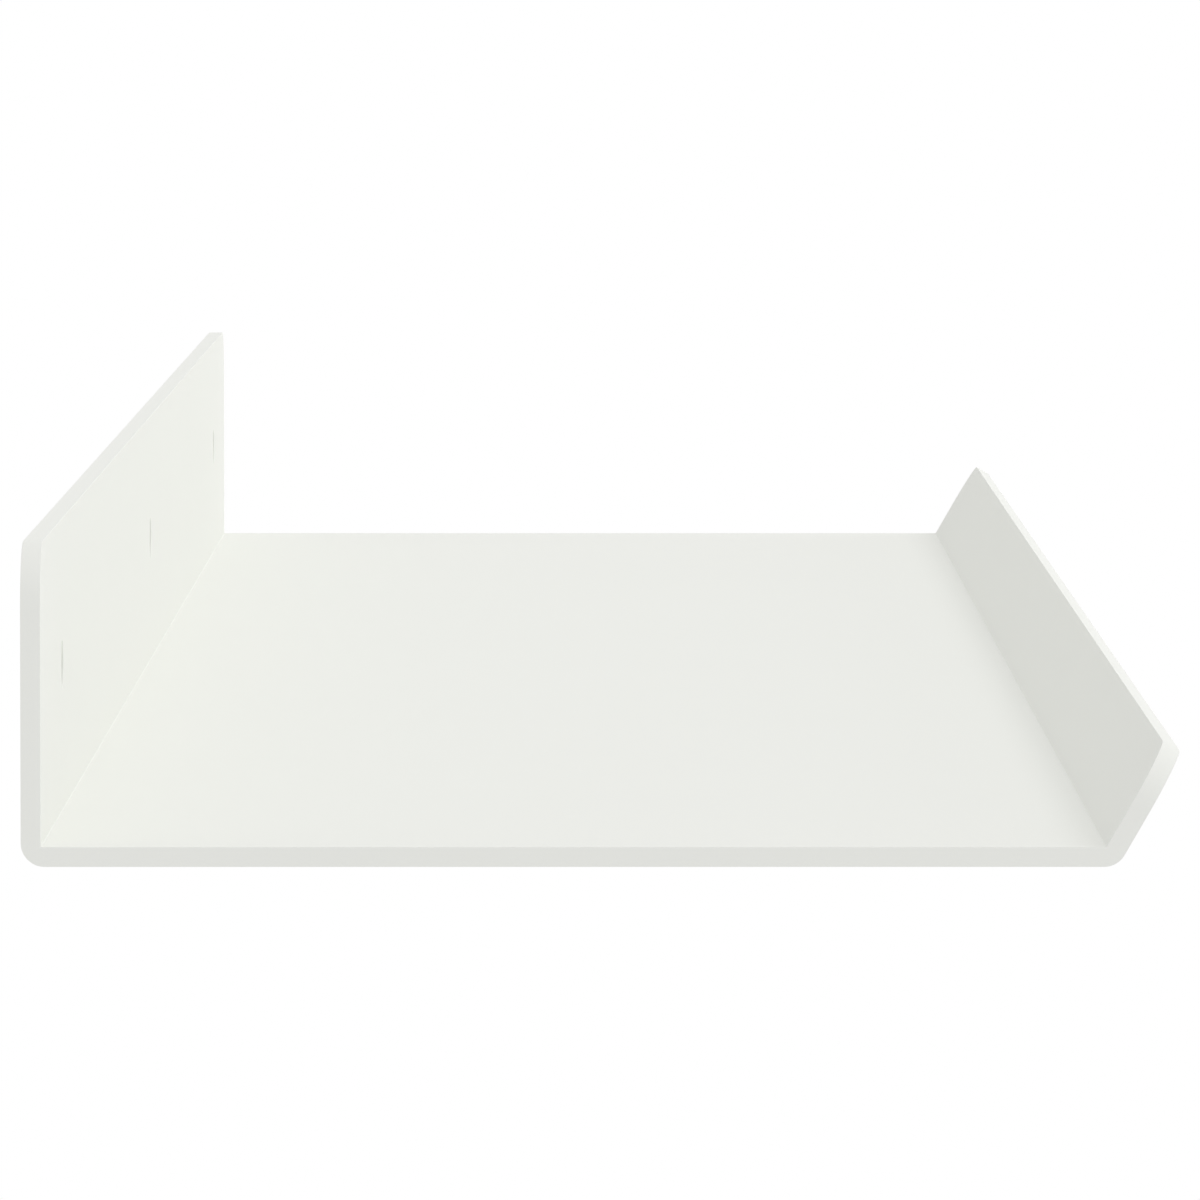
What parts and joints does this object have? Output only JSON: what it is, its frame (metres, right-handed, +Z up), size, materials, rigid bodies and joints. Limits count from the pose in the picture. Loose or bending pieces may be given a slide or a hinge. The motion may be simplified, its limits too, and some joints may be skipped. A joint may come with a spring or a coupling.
{
  "type": "floating wall shelf",
  "caption": "Wall shelf folded from sheet steel: upright screw flange at the back, flat deck and a low front lip that leans outwards; rounded free corners.",
  "frame": {"origin": "on the wall face, at the centre of the middle screw hole", "axes": "+X along the wall, +Y into the wall, +Z up; the deck runs out from the wall towards -Y"},
  "size_m": [0.6, 0.1165, 0.0324],
  "materials": {
    "powder_coat": "satin powder coat in a warm off-white, with a fine even texture"
  },
  "bodies": {
    "root": {"folded_shelf": "powder_coat"}
  },
  "joints": []
}
